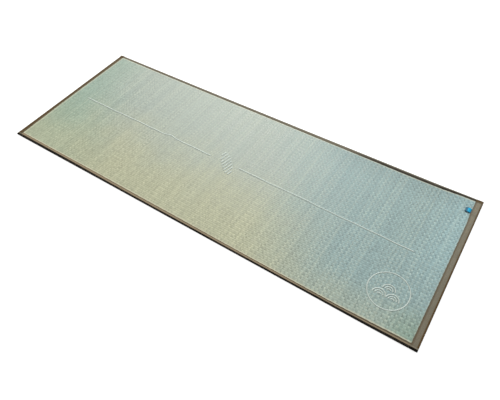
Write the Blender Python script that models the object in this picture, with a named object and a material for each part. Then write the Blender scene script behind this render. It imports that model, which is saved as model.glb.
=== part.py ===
"""Tatami mat: one flat woven rush mat, bound on all four sides with folded cloth tape, with a ribbon label loop.

Frame: metres, +Z up. The origin is on the floor under the middle of the mat, +X runs along the length
towards the labelled end, and +Y runs across the width towards the back long edge.
"""

import math

import bmesh
import bpy

# The whole mat
LENGTH = 1.800  # along X, over the bindings
WIDTH = 0.660  # along Y, over the bindings at either end
THICKNESS = 0.007  # rush and tape lie flush, top and bottom
BACK_EDGE_BOW = 0.003  # how far the back long edge curves in at mid-length
GAP = 0.0003  # clearance between pieces that touch

# The binding tape
TAPE = 0.0008  # thickness of the woven tape
FOLD_RADIUS = 0.0020  # outside radius where the tape turns round the rim
LONG_REACH = 0.013  # how far a long tape covers the rush, from the outer edge
LEFT_REACH = 0.015  # the same for the left end tape
RIGHT_REACH = 0.024  # the same for the right end tape
RAMP = 0.004  # run over which a long tape dips to pass under an end tape

# The label loop
RIBBON = 0.0007  # thickness of the ribbon
LABEL_WIDTH = 0.025  # along Y
LABEL_REACH = 0.022  # from the right end tape towards the middle
LABEL_HEIGHT = 0.0034  # over both layers of the folded ribbon
LABEL_CENTRE_Y = 0.2675

# How finely curves are cut
FOLD_STEPS = 4  # segments to a quarter turn of tape
LOOP_STEPS = 8  # segments to the label's half turn
BAYS = 24  # lengthwise bays that follow the bowed back edge

# Worked out from the above
LAYER = TAPE + GAP  # what one layer of tape takes from the thickness, on each face
LEFT_RISER = -LENGTH / 2 + LEFT_REACH + GAP  # where the full rush face starts, past each end tape
RIGHT_RISER = LENGTH / 2 - RIGHT_REACH - GAP

# Colours: linear red, green, blue, alpha
RUSH_COLOUR = (0.44, 0.50, 0.38, 1.0)
TAPE_COLOUR = (0.17, 0.145, 0.105, 1.0)
LABEL_COLOUR = (0.01, 0.26, 0.58, 1.0)


def fabric(name, colour, roughness):
    """A matt cloth or straw finish."""
    material = bpy.data.materials.new(name)
    material.use_nodes = True
    shader = material.node_tree.nodes["Principled BSDF"]
    shader.inputs["Base Color"].default_value = colour
    shader.inputs["Roughness"].default_value = roughness
    shader.inputs["Metallic"].default_value = 0.0
    return material


def loft(name, sections, material):
    """A closed solid through sections, which are loops of 3-D points, all with the same count and sense."""
    shape = bmesh.new()
    rings = [[shape.verts.new(point) for point in section] for section in sections]
    for ring, following in zip(rings, rings[1:]):
        for i in range(len(ring)):
            j = (i + 1) % len(ring)
            shape.faces.new((ring[i], ring[j], following[j], following[i]))
    shape.faces.new(reversed(rings[0]))
    shape.faces.new(rings[-1])
    bmesh.ops.recalc_face_normals(shape, faces=shape.faces)
    mesh = bpy.data.meshes.new(name)
    shape.to_mesh(mesh)
    shape.free()
    mesh.shade_smooth()
    mesh.set_sharp_from_angle(angle=math.radians(40))
    mesh.materials.append(material)
    piece = bpy.data.objects.new(name, mesh)
    bpy.context.scene.collection.objects.link(piece)
    return piece


def back_edge(x):
    """Y of the back long edge: half a cosine wave, straight at the ends and drawn in at mid-length."""
    return WIDTH / 2 - BACK_EDGE_BOW * math.cos(math.pi * x / LENGTH)


def front_edge(_x):
    """Y of the front long edge, which is straight."""
    return -WIDTH / 2


def arc(centre, radius, start, turn, steps):
    """Points of a circular arc in a section's plane, from angle start through turn, both in degrees."""
    angles = [math.radians(start + turn * i / steps) for i in range(steps + 1)]
    return [(centre[0] + radius * math.cos(a), centre[1] + radius * math.sin(a)) for a in angles]


def folded_tape(reach, layer):
    """Section of tape folded round a rim, as (distance in from the outer edge, height) points.

    layer is how many other layers of tape lie outside this one: 0 at the surface, 1 under an end tape.
    """
    low = layer * LAYER
    high = THICKNESS - layer * LAYER
    inner_radius = FOLD_RADIUS - TAPE
    upper, lower = (FOLD_RADIUS, high - FOLD_RADIUS), (FOLD_RADIUS, low + FOLD_RADIUS)
    outside = arc(upper, FOLD_RADIUS, 90, 90, FOLD_STEPS) + arc(lower, FOLD_RADIUS, 180, 90, FOLD_STEPS)
    inside = arc(lower, inner_radius, 270, -90, FOLD_STEPS) + arc(upper, inner_radius, 180, -90, FOLD_STEPS)
    top_leaf_end = [(reach, high - TAPE), (reach, high)]
    bottom_leaf_end = [(reach, low), (reach, low + TAPE)]
    return top_leaf_end + outside + bottom_leaf_end + inside


def stations():
    """(x, layers of tape over the rush face, layers over its long rims), from the left end to the right."""
    left_end, right_end = -LENGTH / 2 + FOLD_RADIUS, LENGTH / 2 - FOLD_RADIUS
    full_from, full_to = LEFT_RISER + RAMP, RIGHT_RISER - RAMP
    bays = [(full_from + (full_to - full_from) * i / BAYS, 0, 1) for i in range(BAYS + 1)]
    under_left = [(left_end, 1, 2), (LEFT_RISER, 1, 2), (LEFT_RISER, 0, 2)]
    under_right = [(RIGHT_RISER, 0, 2), (RIGHT_RISER, 1, 2), (right_end, 1, 2)]
    return under_left + bays + under_right


def make_mat_body(material):
    """The rush mat, its rims pressed thin under the tapes, and thinnest in the corners under two layers."""

    def section(x, face_layers, rim_layers):
        rim_out, rim_in = front_edge(x) + FOLD_RADIUS, front_edge(x) + LONG_REACH + GAP
        far_in, far_out = back_edge(x) - LONG_REACH - GAP, back_edge(x) - FOLD_RADIUS
        rim, face = rim_layers * LAYER, face_layers * LAYER
        under = [(rim_out, rim), (rim_in, rim), (rim_in, face), (far_in, face), (far_in, rim), (far_out, rim)]
        over = [(y, THICKNESS - z) for y, z in reversed(under)]
        return [(x, y, z) for y, z in under + over]

    return loft("mat_body", [section(*station) for station in stations()], material)


def make_long_binding(name, edge, inward, material):
    """Tape along a long edge. edge gives its outer Y at x, and inward is +1 or -1, towards the mat's middle."""
    sections = []
    seen = set()
    for x, _, rim_layers in stations():
        if x in seen:
            continue
        seen.add(x)
        outline = folded_tape(LONG_REACH, rim_layers - 1)
        sections.append([(x, edge(x) + inward * d, z) for d, z in outline])
    return loft(name, sections, material)


def make_end_binding(name, side, reach, material):
    """Tape over an end, lying outside the long tapes. side is -1 at the left end and +1 at the right."""
    outline = folded_tape(reach, 0)
    ends = (front_edge(0), WIDTH / 2)
    sections = [[(side * (LENGTH / 2 - d), y, z) for d, z in outline] for y in ends]
    return loft(name, sections, material)


def make_label_loop(material):
    """Ribbon folded double on the rush face, its open ends against the right end tape."""
    root = LENGTH / 2 - RIGHT_REACH - GAP
    low = THICKNESS + GAP
    radius = LABEL_HEIGHT / 2
    fold = (root - LABEL_REACH + radius, low + radius)
    outside = [(root, low)] + arc(fold, radius, 270, -180, LOOP_STEPS) + [(root, low + LABEL_HEIGHT)]
    inner_ends = (root, low + LABEL_HEIGHT - RIBBON), (root, low + RIBBON)
    inside = [inner_ends[0]] + arc(fold, radius - RIBBON, 90, 180, LOOP_STEPS) + [inner_ends[1]]
    sides = (LABEL_CENTRE_Y - LABEL_WIDTH / 2, LABEL_CENTRE_Y + LABEL_WIDTH / 2)
    sections = [[(x, y, z) for x, z in outside + inside] for y in sides]
    return loft("label_loop", sections, material)


for leftover in list(bpy.data.objects):
    bpy.data.objects.remove(leftover)

make_mat_body(fabric("rush", RUSH_COLOUR, 0.60))
make_long_binding("binding_front", front_edge, 1, fabric("front_tape", TAPE_COLOUR, 0.80))
make_long_binding("binding_back", back_edge, -1, fabric("back_tape", TAPE_COLOUR, 0.80))
make_end_binding("binding_left", -1, LEFT_REACH, fabric("left_tape", TAPE_COLOUR, 0.80))
make_end_binding("binding_right", 1, RIGHT_REACH, fabric("right_tape", TAPE_COLOUR, 0.80))
make_label_loop(fabric("label_ribbon", LABEL_COLOUR, 0.40))
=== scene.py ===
import math

import bpy
import numpy as np
from mathutils import Matrix, Vector


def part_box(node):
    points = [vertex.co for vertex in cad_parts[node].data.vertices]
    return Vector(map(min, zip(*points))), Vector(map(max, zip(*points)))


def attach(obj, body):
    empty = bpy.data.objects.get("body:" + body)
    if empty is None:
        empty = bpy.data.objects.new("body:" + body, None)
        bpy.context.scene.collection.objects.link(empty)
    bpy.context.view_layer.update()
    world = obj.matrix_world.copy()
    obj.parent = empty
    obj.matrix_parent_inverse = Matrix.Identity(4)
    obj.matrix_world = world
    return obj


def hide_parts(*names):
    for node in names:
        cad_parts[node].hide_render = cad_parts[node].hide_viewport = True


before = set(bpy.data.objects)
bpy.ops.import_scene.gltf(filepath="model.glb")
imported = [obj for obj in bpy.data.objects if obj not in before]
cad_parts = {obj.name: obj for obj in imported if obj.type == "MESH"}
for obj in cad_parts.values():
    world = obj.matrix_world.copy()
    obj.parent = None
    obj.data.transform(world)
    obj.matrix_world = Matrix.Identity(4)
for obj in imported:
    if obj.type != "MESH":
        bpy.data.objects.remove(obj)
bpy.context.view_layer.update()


# ---------------------------------------------------------------------------------------------
# THE RUSH MAT
# One flat mat of flattened rush stems, woven across the width over hemp warps that run the length.
# Every stem bulges between two warps and dives under the next, so the face is a brickwork of small
# domes in long ribs. Its rims are pressed thin where the tapes are folded over them.

mat_low, mat_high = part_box("mat_body")
front_low, front_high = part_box("binding_front")
back_low, back_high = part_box("binding_back")
left_low, left_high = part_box("binding_left")
right_low, right_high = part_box("binding_right")

HALF_LENGTH = right_high.x
HALF_WIDTH = right_high.y
THICKNESS = mat_high.z
MID_HEIGHT = THICKNESS / 2
BACK_BOW = HALF_WIDTH - (back_low.y + back_high.y) / 2 - (front_high.y - front_low.y) / 2

BACK_OUT = 0.0030  # the back tape's fold stands out this far beyond the nominal edge...
LEFT_OUT = 0.0018  # ...the left tape's this far...
FRONT_OUT = 0.0015  # ...and the front tape's this far

STEM_PITCH = 0.00455  # from one visible stem to the next within a rib
RIB_PITCH = 0.0081  # from one warp to the next
DOME_RISE = 0.00026  # crown of a stem above the mat's nominal face
STEM_DIP = 0.00020  # depth of the crease between two stems, on a rib's crest
WARP_DIP = 0.00036  # depth of the furrow over a warp
STEM_UNEVEN = 0.00007  # how much single stems stand up or sit low
STEM_BEAT = 0.28  # a faint slanting pattern in the tone comes round this often per stem...
RIB_BEAT = 0.41  # ...and this often per rib
RIM_HIGHLIGHT_SHARE = (0.60, 0.45, 0.50, 0.10)  # how strong the painted highlight on the rush is beside the front, back, left and right tapes
RIM_SETBACK = 0.0024  # the rush stops this far inside the tape's outer face
PRESSED = 0.0018  # how far one layer of tape presses the face down...
PRESSED_BELOW = 0.0012  # ...and the underside up
PRESSED_SPAN = (-0.0005, 0.0030)  # the pressing sets in and is whole this far out from a tape's free edge

RIGHT_CURL = 0.0028  # the right end doesn't lie quite flat...
RIGHT_CURL_SPAN = (0.70, 0.88)  # ...and rises between these places
LEFT_CURL = 0.0008  # nor does the left, which rises more slowly
LEFT_CURL_SPAN = (0.15, 0.90)
RIPPLE = 0.0003  # slow unevenness of the whole mat, in waves about a metre long


def smooth(value, start, end):
    """0 before start, 1 after end, and an S-shaped cubic between them."""
    t = np.clip((value - start) / (end - start), 0, 1)
    return t * t * (3 - 2 * t)


def stand_off(x, y):
    """How far the mat stands off the floor at (x, y): an S-curve for each end, and a product of sines."""
    curl = RIGHT_CURL * smooth(x, *RIGHT_CURL_SPAN) + LEFT_CURL * smooth(-x, *LEFT_CURL_SPAN)
    ripple = RIPPLE * (1 + np.sin(7.3 * x + 1.1) * np.cos(5.9 * y - 0.4 + 1.7 * x))
    return curl + ripple


def front_edge(x):
    """Y of the front long edge: a straight line."""
    return np.full_like(x, -HALF_WIDTH - FRONT_OUT)


def back_edge(x):
    """Y of the back long edge: straight, less half a cosine wave that draws it in at mid-length."""
    return HALF_WIDTH + BACK_OUT - BACK_BOW * np.cos(np.pi * x / (2 * HALF_LENGTH))


# How far each long tape covers the rush, in metres, at places along the mat: it was sewn by hand and wanders.
REACH_AT = np.array([-0.90, -0.55, -0.10, 0.30, 0.62, 0.74, 0.83, 0.90])
FRONT_REACH_AT = np.array([0.0182, 0.0174, 0.0150, 0.0130, 0.0128, 0.0152, 0.0170, 0.0170])
BACK_REACH_AT = np.array([0.0134, 0.0138, 0.0150, 0.0162, 0.0184, 0.0172, 0.0136, 0.0134])

LEFT_WIDENED = 0.0052  # the left tape's top leaf is this much wider than nominal...
LEFT_WAIST = 0.0012  # ...give or take this much...
LEFT_WAIST_AT = -0.03  # ...being narrowest at this y...
LEFT_WAIST_SPAN = 0.36  # ...and widest this far from it
RIGHT_WIDENED = 0.000615  # the right tape's top leaf is this much wider than nominal at mid-width...
RIGHT_TAPER = 0.0011  # ...wider still by this much at its front end and narrower at its back end...
RIGHT_BY_LABEL = 0.0028  # ...and wider by this much beside the label...
RIGHT_BY_LABEL_SPAN = (0.20, 0.255)  # ...a change made between these places


def eased(x, places, values):
    """Values at places joined by S-shaped cubics, level at each place."""
    i = np.clip(np.searchsorted(places, x) - 1, 0, len(places) - 2)
    return values[i] + (values[i + 1] - values[i]) * smooth(x, places[i], places[i + 1])


def front_reach(x):
    """Width of the front tape's top leaf at x."""
    return eased(x, REACH_AT, FRONT_REACH_AT)


def back_reach(x):
    """Width of the back tape's top leaf at x."""
    return eased(x, REACH_AT, BACK_REACH_AT)


def left_reach(y):
    """Width of the left end tape's top leaf at y: a cosine wave, narrowest just in front of the middle."""
    wave = np.cos(np.pi * np.clip((y - LEFT_WAIST_AT) / LEFT_WAIST_SPAN, -1, 1))
    return left_high.x - left_low.x + LEFT_WIDENED - LEFT_WAIST * wave


def right_reach(y):
    """Width of the right end tape's top leaf at y: it narrows steadily from front to back, and widens again
    by an S-curve beside the label."""
    widened = RIGHT_WIDENED + RIGHT_BY_LABEL * smooth(y, *RIGHT_BY_LABEL_SPAN)
    return right_high.x - right_low.x + widened - RIGHT_TAPER * y / HALF_WIDTH


def under_tapes(x, y):
    """How far (x, y) lies under the front, back, left and right tapes, from each one's free edge outwards."""
    return (
        front_edge(x) + front_reach(x) - y,
        y - back_edge(x) + back_reach(x),
        left_reach(y) - HALF_LENGTH - LEFT_OUT - x,
        x - HALF_LENGTH + right_reach(y),
    )


def tape_layers(x, y):
    """Layers of tape over the rush at (x, y): each tape adds an S-curve from 0 to 1 as it is passed under."""
    return sum(smooth(under, *PRESSED_SPAN) for under in under_tapes(x, y))


def mesh_object(name, points, faces, material, uv=None):
    """A smooth mesh piece from arrays: points (n, 3), faces (m, 3 or 4) and, if given, uv (m, 3 or 4, 2).

    The faces are turned round together if the volume that they enclose comes out negative.
    """
    a, b, c = (points[faces[:, k]] for k in range(3))
    volume = np.einsum("ij,ij->", a, np.cross(b, c))
    if faces.shape[1] == 4:
        d = points[faces[:, 3]]
        volume += np.einsum("ij,ij->", a, np.cross(c, d))
    if volume < 0:
        faces = faces[:, ::-1]
        uv = None if uv is None else uv[:, ::-1]
    mesh = bpy.data.meshes.new(name)
    mesh.vertices.add(len(points))
    mesh.vertices.foreach_set("co", np.ascontiguousarray(points, np.float32).ravel())
    mesh.loops.add(faces.size)
    mesh.loops.foreach_set("vertex_index", np.ascontiguousarray(faces, np.int32).ravel())
    mesh.polygons.add(len(faces))
    mesh.polygons.foreach_set("loop_start", np.arange(0, faces.size, faces.shape[1], dtype=np.int32))
    mesh.update(calc_edges=True)
    if uv is not None:
        layer = mesh.uv_layers.new(name="cloth")
        layer.uv.foreach_set("vector", np.ascontiguousarray(uv, np.float32).ravel())
    mesh.shade_smooth()
    mesh.materials.append(material)
    piece = bpy.data.objects.new(name, mesh)
    bpy.context.scene.collection.objects.link(piece)
    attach(piece, "root")
    return piece


def set_attribute(piece, name, values):
    """A number for each point of a piece, which its material reads by name."""
    layer = piece.data.attributes.new(name, "FLOAT", "POINT")
    layer.data.foreach_set("value", np.ascontiguousarray(values, np.float32).ravel())


def node_group(name, inputs, outputs):
    """An empty shader node group. inputs are (name, default) pairs, and outputs are names of numbers."""
    group = bpy.data.node_groups.new(name, "ShaderNodeTree")
    for label, value in inputs:
        kind = "NodeSocketFloat" if isinstance(value, float) else "NodeSocketVector"
        socket = group.interface.new_socket(name=label, in_out="INPUT", socket_type=kind)
        socket.default_value = value
    for label in outputs:
        group.interface.new_socket(name=label, in_out="OUTPUT", socket_type="NodeSocketFloat")
    return group, group.nodes.new("NodeGroupInput").outputs, group.nodes.new("NodeGroupOutput").inputs


class Wiring:
    """Short ways to add nodes to one tree. Each returns the output socket that it makes."""

    def __init__(self, tree):
        self.tree = tree

    def feed(self, socket, value):
        if isinstance(value, bpy.types.NodeSocket):
            self.tree.links.new(value, socket)
        else:
            socket.default_value = value

    def math(self, operation, *values, clamp=False):
        node = self.tree.nodes.new("ShaderNodeMath")
        node.operation = operation
        node.use_clamp = clamp
        for socket, value in zip(node.inputs, values):
            self.feed(socket, value)
        return node.outputs[0]

    def add(self, first, second):
        return self.math("ADD", first, second)

    def times(self, first, second):
        return self.math("MULTIPLY", first, second)

    def ramp(self, value, low, high, out_low=0.0, out_high=1.0, kind="SMOOTHSTEP"):
        node = self.tree.nodes.new("ShaderNodeMapRange")
        node.interpolation_type = kind
        for socket, number in zip(node.inputs, (value, low, high, out_low, out_high)):
            self.feed(socket, number)
        return node.outputs[0]

    def spread(self, value, out_low, out_high):
        """A value from 0 to 1 laid evenly from out_low to out_high."""
        return self.ramp(value, 0.0, 1.0, out_low, out_high, "LINEAR")

    def mix(self, share, first, second, blend="MIX"):
        node = self.tree.nodes.new("ShaderNodeMix")
        node.data_type = "RGBA"
        node.blend_type = blend
        self.feed(node.inputs[0], share)
        self.feed(node.inputs[6], first)
        self.feed(node.inputs[7], second)
        return node.outputs[2]

    def shaded(self, colour, tone):
        """A colour times a number."""
        return self.mix(1.0, colour, self.join(tone, tone, tone), "MULTIPLY")

    def split(self, vector):
        node = self.tree.nodes.new("ShaderNodeSeparateXYZ")
        self.feed(node.inputs[0], vector)
        return node.outputs[0], node.outputs[1], node.outputs[2]

    def join(self, x, y, z=0.0):
        node = self.tree.nodes.new("ShaderNodeCombineXYZ")
        for socket, value in zip(node.inputs, (x, y, z)):
            self.feed(socket, value)
        return node.outputs[0]

    def noise(self, vector, scale, detail, roughness=0.5):
        node = self.tree.nodes.new("ShaderNodeTexNoise")
        self.feed(node.inputs["Vector"], vector)
        self.feed(node.inputs["Scale"], scale)
        node.inputs["Detail"].default_value = detail
        node.inputs["Roughness"].default_value = roughness
        return node.outputs["Fac"]

    def random(self, x, y):
        node = self.tree.nodes.new("ShaderNodeTexWhiteNoise")
        node.noise_dimensions = "2D"
        self.feed(node.inputs["Vector"], self.join(x, y))
        return node.outputs["Value"]

    def place(self, group, **values):
        node = self.tree.nodes.new("ShaderNodeGroup")
        node.node_tree = group
        for label, value in values.items():
            self.feed(node.inputs[label.replace("_", " ")], value)
        return node.outputs

    def own_coordinates(self):
        return self.tree.nodes.new("ShaderNodeTexCoord").outputs["Object"]

    def cloth_coordinates(self):
        node = self.tree.nodes.new("ShaderNodeUVMap")
        node.uv_map = "cloth"
        return node.outputs[0]

    def attribute(self, name):
        node = self.tree.nodes.new("ShaderNodeAttribute")
        node.attribute_name = name
        return node.outputs["Fac"]

    def dress(self, shader, colour, roughness, normal=None):
        self.feed(shader.inputs["Base Color"], colour)
        self.feed(shader.inputs["Roughness"], roughness)
        if normal is not None:
            self.feed(shader.inputs["Normal"], normal)

    def bump(self, height, distance, normal=None):
        node = self.tree.nodes.new("ShaderNodeBump")
        node.inputs["Distance"].default_value = distance
        self.feed(node.inputs["Height"], height)
        if normal is not None:
            self.feed(node.inputs["Normal"], normal)
        return node.outputs[0]


def new_material(name, **plain):
    """A Principled material with plain values on its sockets, its wiring, and its shader node."""
    material = bpy.data.materials.new(name)
    material.use_nodes = True
    shader = material.node_tree.nodes["Principled BSDF"]
    for label, value in plain.items():
        shader.inputs[label.replace("_", " ")].default_value = value
    return material, Wiring(material.node_tree), shader


def rush_weave_group():
    """The brickwork of stems. Height is 1 on a stem's crown and 0 in a furrow. Stem is a random number for
    each stem, the same all across the mat, and Segment is one for each dome. Crown is 1 along a dome's
    middle, and Furrow is 1 over a warp. Beat is a sine that steps on from stem to stem and from rib to rib,
    and Odd is 1 on every second rib."""
    group, given, result = node_group(
        "rush_weave",
        [("Place", (0.0, 0.0, 0.0)), ("Stem Pitch", STEM_PITCH), ("Rib Pitch", RIB_PITCH)],
        ["Height", "Stem", "Segment", "Crown", "Furrow", "Beat", "Odd"],
    )
    w = Wiring(group)

    def from_middle(turns):
        """0 at the middle of each turn and 1 where the next begins."""
        return w.math("ABSOLUTE", w.math("SUBTRACT", w.times(w.math("FRACT", turns), 2.0), 1.0))

    x, y, _ = w.split(given["Place"])
    rib = w.math("DIVIDE", y, given["Rib Pitch"])
    rib_number = w.math("FLOOR", rib)
    odd = w.math("FLOORED_MODULO", rib_number, 2.0)
    stem = w.add(w.math("DIVIDE", x, given["Stem Pitch"]), w.times(odd, 0.5))
    stem_number = w.math("FLOOR", stem)
    across, along = from_middle(stem), from_middle(rib)
    crown = w.math("SQRT", w.math("SUBTRACT", 1.0, w.math("POWER", across, 2.5), clamp=True))
    bulge = w.math("SUBTRACT", 1.0, w.math("POWER", along, 3.0), clamp=True)
    number = w.math("SUBTRACT", w.times(stem_number, 2.0), odd)
    turns = w.add(w.times(stem_number, STEM_BEAT), w.times(rib_number, RIB_BEAT))
    w.feed(result["Height"], w.times(crown, bulge))
    w.feed(result["Stem"], w.random(number, 0.5))
    w.feed(result["Segment"], w.random(stem_number, rib_number))
    w.feed(result["Crown"], crown)
    w.feed(result["Furrow"], w.math("POWER", along, 6.0))
    w.feed(result["Beat"], w.math("SINE", w.times(turns, 2 * math.pi)))
    w.feed(result["Odd"], odd)
    return group


def rush_grid():
    """Numbers and places of the rush face's columns and rows, half a pitch apart, so that every crest,
    crease and furrow has points."""
    stems = int((HALF_LENGTH - RIM_SETBACK) / STEM_PITCH)
    ribs = int((HALF_WIDTH - RIM_SETBACK - BACK_BOW) / RIB_PITCH)
    columns = np.arange(-2 * stems, 2 * stems + 1)
    rows = np.arange(-2 * ribs, 2 * ribs + 1)
    return columns, rows, columns * STEM_PITCH / 2, rows * RIB_PITCH / 2


def rim_wall(upper, lower):
    """Triangles between two lines of points whose ends match, with each upper step joined to its share of the
    lower line."""
    share = np.round(np.arange(len(upper)) * (len(lower) - 1) / (len(upper) - 1)).astype(int)
    steps = np.stack([upper[:-1], lower[share[:-1]], upper[1:]], -1)
    turn = np.nonzero(np.diff(share))[0]
    turns = np.stack([upper[turn + 1], lower[share[turn]], lower[share[turn + 1]]], -1)
    return np.concatenate([steps, turns])


def make_rush_mat(material):
    """The mat as a closed mesh.

    Top: nominal face + dome rise at stem crowns, - crease dips between stems on the ribs' crests, - furrow
    dips over the warps, - what the tapes press down. Furrow rows have a point for each stem and crest rows
    two, so each cell between them is three triangles. Underside: the same outline, flat, with pressed rims.
    """
    columns, rows, xs, ys = rush_grid()
    draw = np.random.default_rng(5)
    x, y = np.meshgrid(xs, ys)
    layers = tape_layers(x, y)
    crest = (rows % 2 == 1)[:, None]
    rib = np.floor_divide(rows, 2)[:, None]
    on_crown = (columns[None, :] + rib) % 2 == 1
    relief = np.where(crest, np.where(on_crown, DOME_RISE, -STEM_DIP), -WARP_DIP)
    relief = relief + STEM_UNEVEN * draw.standard_normal(relief.shape) * crest
    top = THICKNESS + relief * (1 - np.clip(layers, 0, 1)) - PRESSED * layers + stand_off(x, y)
    kept = crest | (columns[None, :] % 2 == 0)
    number = np.full(kept.shape, -1)
    number[kept] = np.arange(kept.sum())
    top_points = np.stack([x[kept], y[kept], top[kept]], -1)

    furrow, crown = number[0::2, 0::2], number[1::2]
    c, d, e = crown[:, 0:-2:2], crown[:, 1:-1:2], crown[:, 2::2]
    cells = []
    for near, sense in ((furrow[:-1], 1), (furrow[1:], -1)):
        a, b = near[:, :-1], near[:, 1:]
        cells += [np.stack(t, -1).reshape(-1, 3)[:, ::sense] for t in ((a, d, c), (a, b, d), (b, e, d))]

    low_ys = np.array([ys[0], ys[2], ys[4], ys[6], 0.0, ys[-7], ys[-5], ys[-3], ys[-1]])
    lx, ly = np.meshgrid(xs[0::2], low_ys)
    low = PRESSED_BELOW * tape_layers(lx, ly) + stand_off(lx, ly)
    low_points = np.stack([lx, ly, low], -1).reshape(-1, 3)
    low_number = np.arange(lx.size).reshape(lx.shape) + len(top_points)
    quads = (low_number[:-1, :-1], low_number[1:, :-1], low_number[1:, 1:], low_number[:-1, 1:])
    low_faces = np.stack([q.ravel() for q in quads], -1)

    walls = [
        rim_wall(number[0, 0::2], low_number[0]),
        rim_wall(number[:, -1], low_number[:, -1]),
        rim_wall(number[-1, 0::2][::-1], low_number[-1][::-1]),
        rim_wall(number[::-1, 0], low_number[::-1, 0]),
    ]
    faces = np.concatenate([*cells, low_faces[:, [0, 1, 2]], low_faces[:, [0, 2, 3]], *walls])
    points = np.concatenate([top_points, low_points])
    piece = mesh_object("rush_mat", points, faces, material)
    under = np.stack(under_tapes(points[:, 0], points[:, 1]))
    set_attribute(piece, "from_tape", -under.max(0))
    set_attribute(piece, "rim", np.array(RIM_HIGHLIGHT_SHARE)[under.argmax(0)])
    return piece


rush_weave = rush_weave_group()

RUSH_SILVER = (0.288, 0.332, 0.293, 1.0)  # bleached stems, over most of the mat
RUSH_STRAW = (0.349, 0.356, 0.239, 1.0)  # dried stems along the front, warmed too as painted light from the front
RUSH_FRESH = (0.215, 0.304, 0.300, 1.0)  # stems that are still green towards the label, made bluer too by a painted cool reflection
RUSH_LEAF = (0.204, 0.314, 0.246, 1.0)  # greener stems, at the left end and in the front right corner
RUSH_COOL_REFLECTION = (0.253, 0.376, 0.390, 1.0)  # bluish stems along the right end, partly a painted cool reflection
RUSH_DRY = (0.50, 0.47, 0.31, 1.0)  # single dry stems
RUSH_RIM_HIGHLIGHT = (0.60, 0.57, 0.42, 1.0)  # a painted highlight on the rush beside the tape


def make_rush_material():
    """Satin straw. Soft-edged patches mix its colours. Each stem, each dome and every second rib has its
    own tone, bundles of stems show as streaks across the mat, and creases and furrows are darker as painted
    shade."""
    material, w, shader = new_material("woven_rush", Roughness=0.5, Sheen_Weight=0.1, Sheen_Roughness=0.4)
    place = w.own_coordinates()
    x, y, z = w.split(place)
    weave = w.place(rush_weave, Place=place)

    def patch(along, across):
        """1 inside a soft-edged patch and 0 outside: a ramp of x times a ramp of y."""
        return w.times(w.ramp(x, *along), w.ramp(y, *across))

    # The colours: green towards both ends, straw along the front. The warmth along the front and the blue
    # towards the right are partly painted light.
    cloud = w.times(w.math("SUBTRACT", w.noise(place, 5.0, 3.0), 0.5), 0.25)
    slant = w.add(w.add(x, w.times(y, 0.45)), cloud)
    corner = patch((0.3, 0.6), (-0.17, -0.31))
    to_front = w.ramp(w.add(w.times(y, -1.0), cloud), -0.12, 0.26)
    to_left = w.times(w.ramp(slant, -0.50, -0.88, 0.0, 0.6), w.ramp(y, -0.28, -0.08, 0.45, 1.0))
    to_label = w.times(w.ramp(slant, 0.10, 0.54), w.spread(corner, 1.0, 0.62))
    beside_label = w.times(patch((0.72, 0.86), (-0.20, 0.06)), 0.6)
    green_corner = w.times(w.times(corner, w.ramp(x, 0.74, 0.87)), 0.7)
    colour = w.mix(to_front, RUSH_SILVER, RUSH_STRAW)
    colour = w.mix(to_left, colour, RUSH_LEAF)
    colour = w.mix(to_label, colour, RUSH_FRESH)
    colour = w.mix(beside_label, colour, RUSH_COOL_REFLECTION)
    colour = w.mix(green_corner, colour, RUSH_LEAF)
    streak = w.noise(w.join(x, w.times(y, 0.02)), 110.0, 3.0, 0.65)
    dryness = w.add(w.times(weave["Stem"], 0.7), w.times(streak, 0.45))
    colour = w.mix(w.ramp(dryness, 0.50, 1.05, 0.0, 0.16), colour, RUSH_DRY)

    # The tones: what each of these adds to a stem's own.
    tone = w.spread(weave["Stem"], 0.93, 1.07)
    # Painted shade in the far right and near right patches, and painted light in the near left one.
    far_right_shade = patch((0.15, 0.4), (0.20, 0.31))
    near_right_shade = patch((0.76, 0.87), (-0.17, -0.28))
    near_left_light = patch((-0.62, -0.80), (-0.10, -0.26))
    for change in (
        w.times(weave["Beat"], w.ramp(x, -0.1, 0.6, 0.025, 0.145)),
        w.spread(weave["Segment"], -0.13, 0.13),
        w.ramp(streak, 0.25, 0.75, -0.045, 0.045, "LINEAR"),
        w.times(weave["Odd"], w.ramp(x, -0.2, 0.5, -0.015, -0.06)),
        w.times(w.add(far_right_shade, near_right_shade), -0.11),
        w.times(near_left_light, 0.035),
    ):
        tone = w.add(tone, change)
    # Painted shade in the creases between stems and in the furrows over the warps.
    crease = w.ramp(weave["Crown"], 0.0, 0.65, 0.58, 1.0)
    furrow = w.ramp(weave["Furrow"], 0.0, 1.0, 1.0, 0.84)
    colour = w.shaded(colour, w.times(w.times(crease, furrow), tone))
    # A painted highlight on the rush along each tape's free edge.
    tape_edge_highlight = w.ramp(w.attribute("from_tape"), 0.0015, 0.0065, 1.0, 0.0)
    colour = w.mix(w.times(tape_edge_highlight, w.attribute("rim")), colour, RUSH_RIM_HIGHLIGHT)

    # The finish: fibres that run along each stem, on top of the domes.
    fibre = w.noise(w.join(w.times(x, 2600.0), w.times(y, 90.0), w.times(z, 2600.0)), 1.0, 2.0)
    gloss = w.ramp(w.add(fibre, weave["Segment"]), 0.5, 1.5, 0.42, 0.60)
    w.dress(shader, colour, gloss, w.bump(fibre, 0.00006, w.bump(weave["Height"], 0.00030)))
    return material


rush = make_rush_mat(make_rush_material())
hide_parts("mat_body")


# ---------------------------------------------------------------------------------------------
# THE RAISED LINES
# A rush-coloured cord is couched down along the mat's middle in two runs. More of it, sewn flat on the face
# too, draws a ring round three wave fans in one corner, and a slanting ladder of short bars at the centre.

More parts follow.
